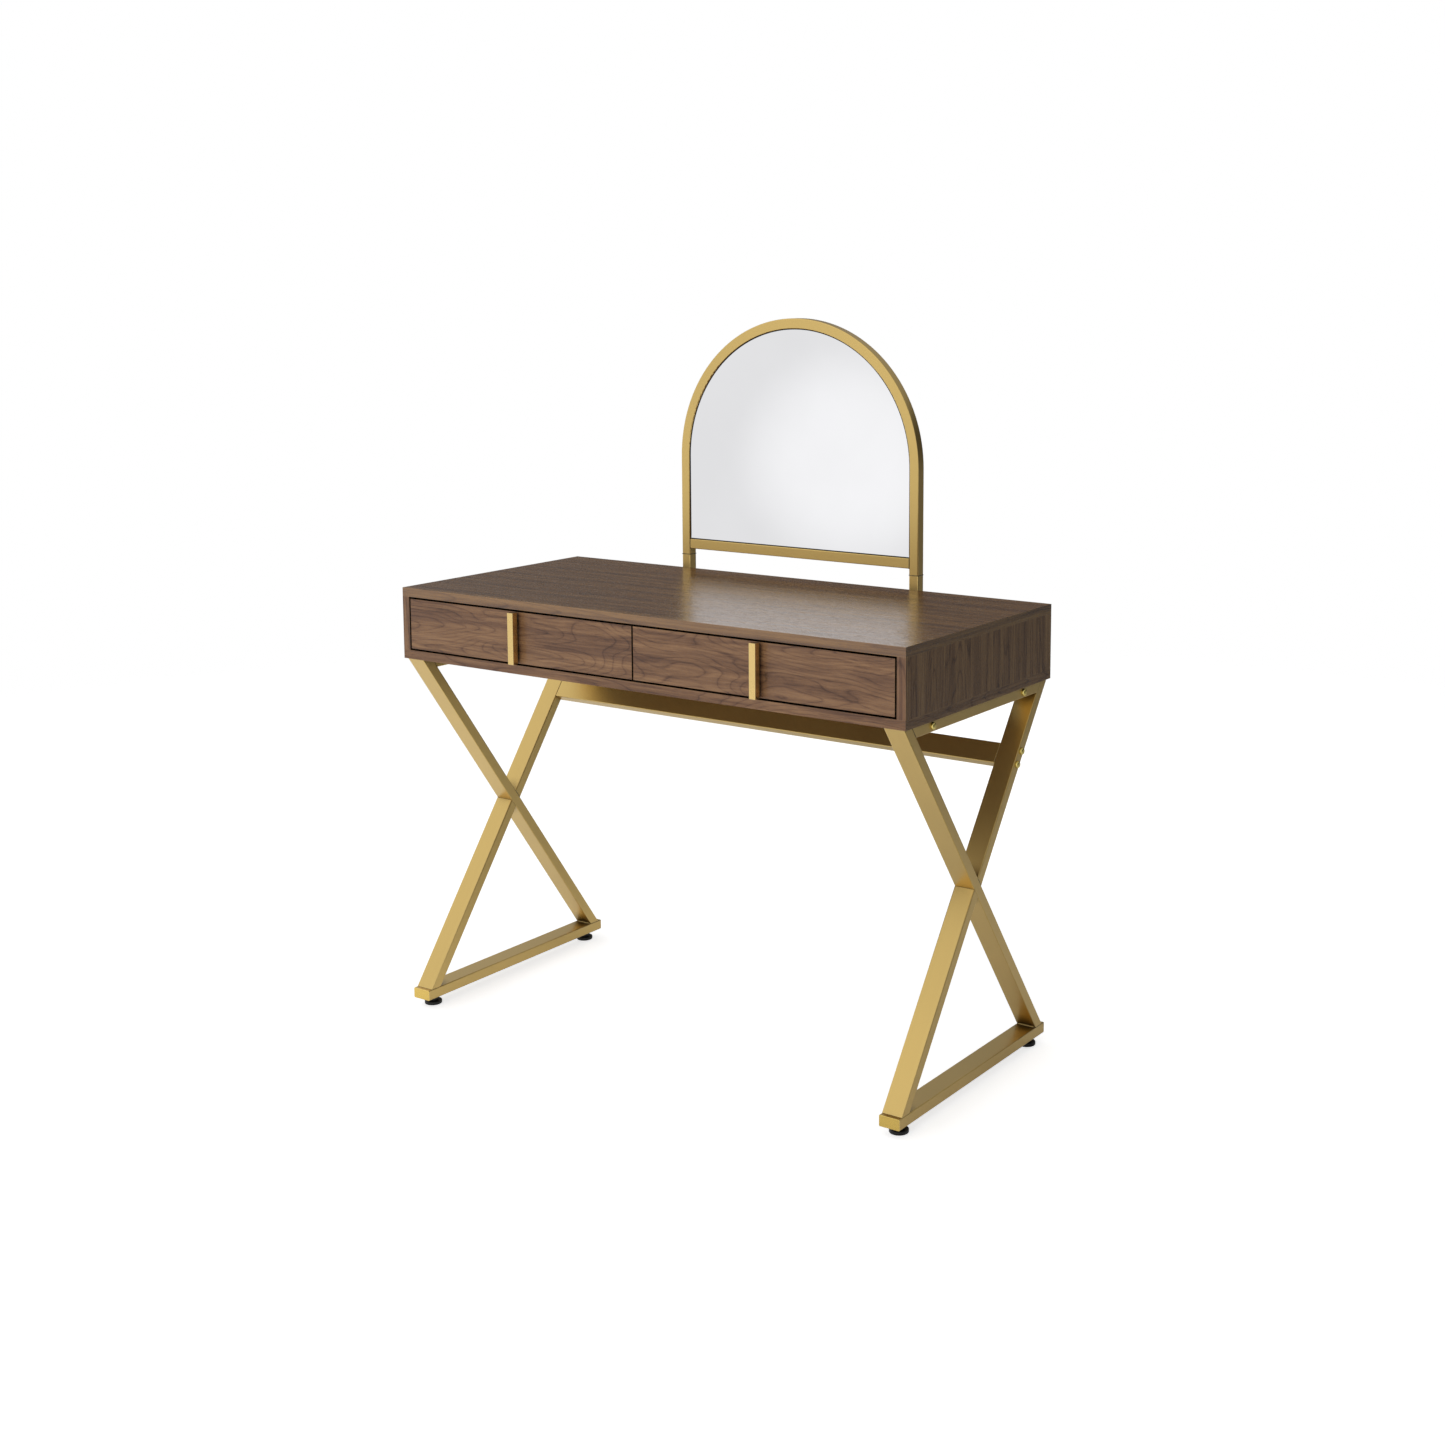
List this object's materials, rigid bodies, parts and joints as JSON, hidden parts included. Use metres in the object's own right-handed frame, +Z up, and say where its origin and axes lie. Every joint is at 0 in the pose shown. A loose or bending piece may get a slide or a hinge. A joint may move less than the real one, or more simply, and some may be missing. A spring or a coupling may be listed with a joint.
{
  "type": "vanity table with mirror",
  "caption": "Vanity table: walnut-veneered drawer box on gold X-shaped side frames, with an arched mirror on posts at the back, bar handles and levelling feet.",
  "frame": {"origin": "on the floor, under the middle of the table top", "axes": "+X to the right of a person sitting at the table, -Y towards that person, +Z up"},
  "size_m": [1.0668, 0.5232, 1.2699],
  "materials": {
    "walnut": "satin walnut veneer",
    "drawer_box": "plain lacquered board",
    "dowel_beech": "bare beech",
    "backing_board": "smooth hardboard",
    "gold_steel": "satin brass-coloured coating",
    "handle_gold": "satin brass-coloured coating",
    "end_cap_gold": "satin brass-coloured coating",
    "polished_brass": "polished",
    "insert_brass": "machined",
    "zinc_steel": "zinc plated",
    "mirror_glass": "silvered glass",
    "black_plastic": "moulded"
  },
  "bodies": {
    "root": {"back_panel": "walnut", "bottom_panel": "walnut", "cabinet_slide_rails": "zinc_steel", "carcass_cam_fittings": "zinc_steel", "carcass_dowels": "dowel_beech", "centre_divider": "walnut", "foot_inserts": "zinc_steel", "left_floor_bar": "gold_steel", "left_front_leg": "gold_steel", "left_mirror_post": "gold_steel", "left_rear_leg_lower": "gold_steel", "left_rear_leg_upper": "gold_steel", "left_side_panel": "walnut", "left_top_rail": "gold_steel", "mirror_arch_frame": "gold_steel", "mirror_backing_board": "backing_board", "mirror_crossbar": "gold_steel", "mirror_glass": "mirror_glass", "mirror_tabs": "gold_steel", "post_bolts": "polished_brass", "post_inserts": "insert_brass", "rail_bolts": "polished_brass", "rail_brackets": "zinc_steel", "rear_stretcher": "gold_steel", "right_floor_bar": "gold_steel", "right_front_leg": "gold_steel", "right_mirror_post": "gold_steel", "right_rear_leg_lower": "gold_steel", "right_rear_leg_upper": "gold_steel", "right_side_panel": "walnut", "right_top_rail": "gold_steel", "stretcher_bolts": "polished_brass", "stretcher_end_plates": "zinc_steel", "top_panel": "walnut", "tube_end_caps": "end_cap_gold", "wood_screws": "zinc_steel"},
    "left_drawer": {"left_drawer_back": "drawer_box", "left_drawer_bottom": "drawer_box", "left_drawer_dowels": "dowel_beech", "left_drawer_front": "walnut", "left_drawer_handle": "handle_gold", "left_drawer_inner_side": "drawer_box", "left_drawer_outer_side": "drawer_box", "left_drawer_screws": "zinc_steel", "left_drawer_slide_rails": "zinc_steel"},
    "right_drawer": {"right_drawer_back": "drawer_box", "right_drawer_bottom": "drawer_box", "right_drawer_dowels": "dowel_beech", "right_drawer_front": "walnut", "right_drawer_handle": "handle_gold", "right_drawer_inner_side": "drawer_box", "right_drawer_outer_side": "drawer_box", "right_drawer_screws": "zinc_steel", "right_drawer_slide_rails": "zinc_steel"},
    "left_drawer_ball_cages": {"left_drawer_ball_cages": "zinc_steel"},
    "right_drawer_ball_cages": {"right_drawer_ball_cages": "zinc_steel"},
    "front_left_foot": {"front_left_foot": "black_plastic"},
    "rear_left_foot": {"rear_left_foot": "black_plastic"},
    "front_right_foot": {"front_right_foot": "black_plastic"},
    "rear_right_foot": {"rear_right_foot": "black_plastic"}
  },
  "joints": [
    {"name": "left_drawer_slide", "type": "slide", "parent": "root", "child": "left_drawer", "axis": [0, -1, 0], "range_m": [0, 0.3]},
    {"name": "left_cage_slide", "type": "slide", "parent": "root", "child": "left_drawer_ball_cages", "axis": [0, -1, 0], "range_m": [0, 0.15]},
    {"name": "right_drawer_slide", "type": "slide", "parent": "root", "child": "right_drawer", "axis": [0, -1, 0], "range_m": [0, 0.3]},
    {"name": "right_cage_slide", "type": "slide", "parent": "root", "child": "right_drawer_ball_cages", "axis": [0, -1, 0], "range_m": [0, 0.15]},
    {"name": "front_left_foot_screw", "type": "slide", "parent": "root", "child": "front_left_foot", "axis": [0, 0, -1], "range_m": [0, 0.012]},
    {"name": "rear_left_foot_screw", "type": "slide", "parent": "root", "child": "rear_left_foot", "axis": [0, 0, -1], "range_m": [0, 0.012]},
    {"name": "front_right_foot_screw", "type": "slide", "parent": "root", "child": "front_right_foot", "axis": [0, 0, -1], "range_m": [0, 0.012]},
    {"name": "rear_right_foot_screw", "type": "slide", "parent": "root", "child": "rear_right_foot", "axis": [0, 0, -1], "range_m": [0, 0.012]}
  ],
  "couplings": [
    {"joint": "left_cage_slide", "follows": "left_drawer_slide", "ratio": 0.5},
    {"joint": "right_cage_slide", "follows": "right_drawer_slide", "ratio": 0.5}
  ]
}
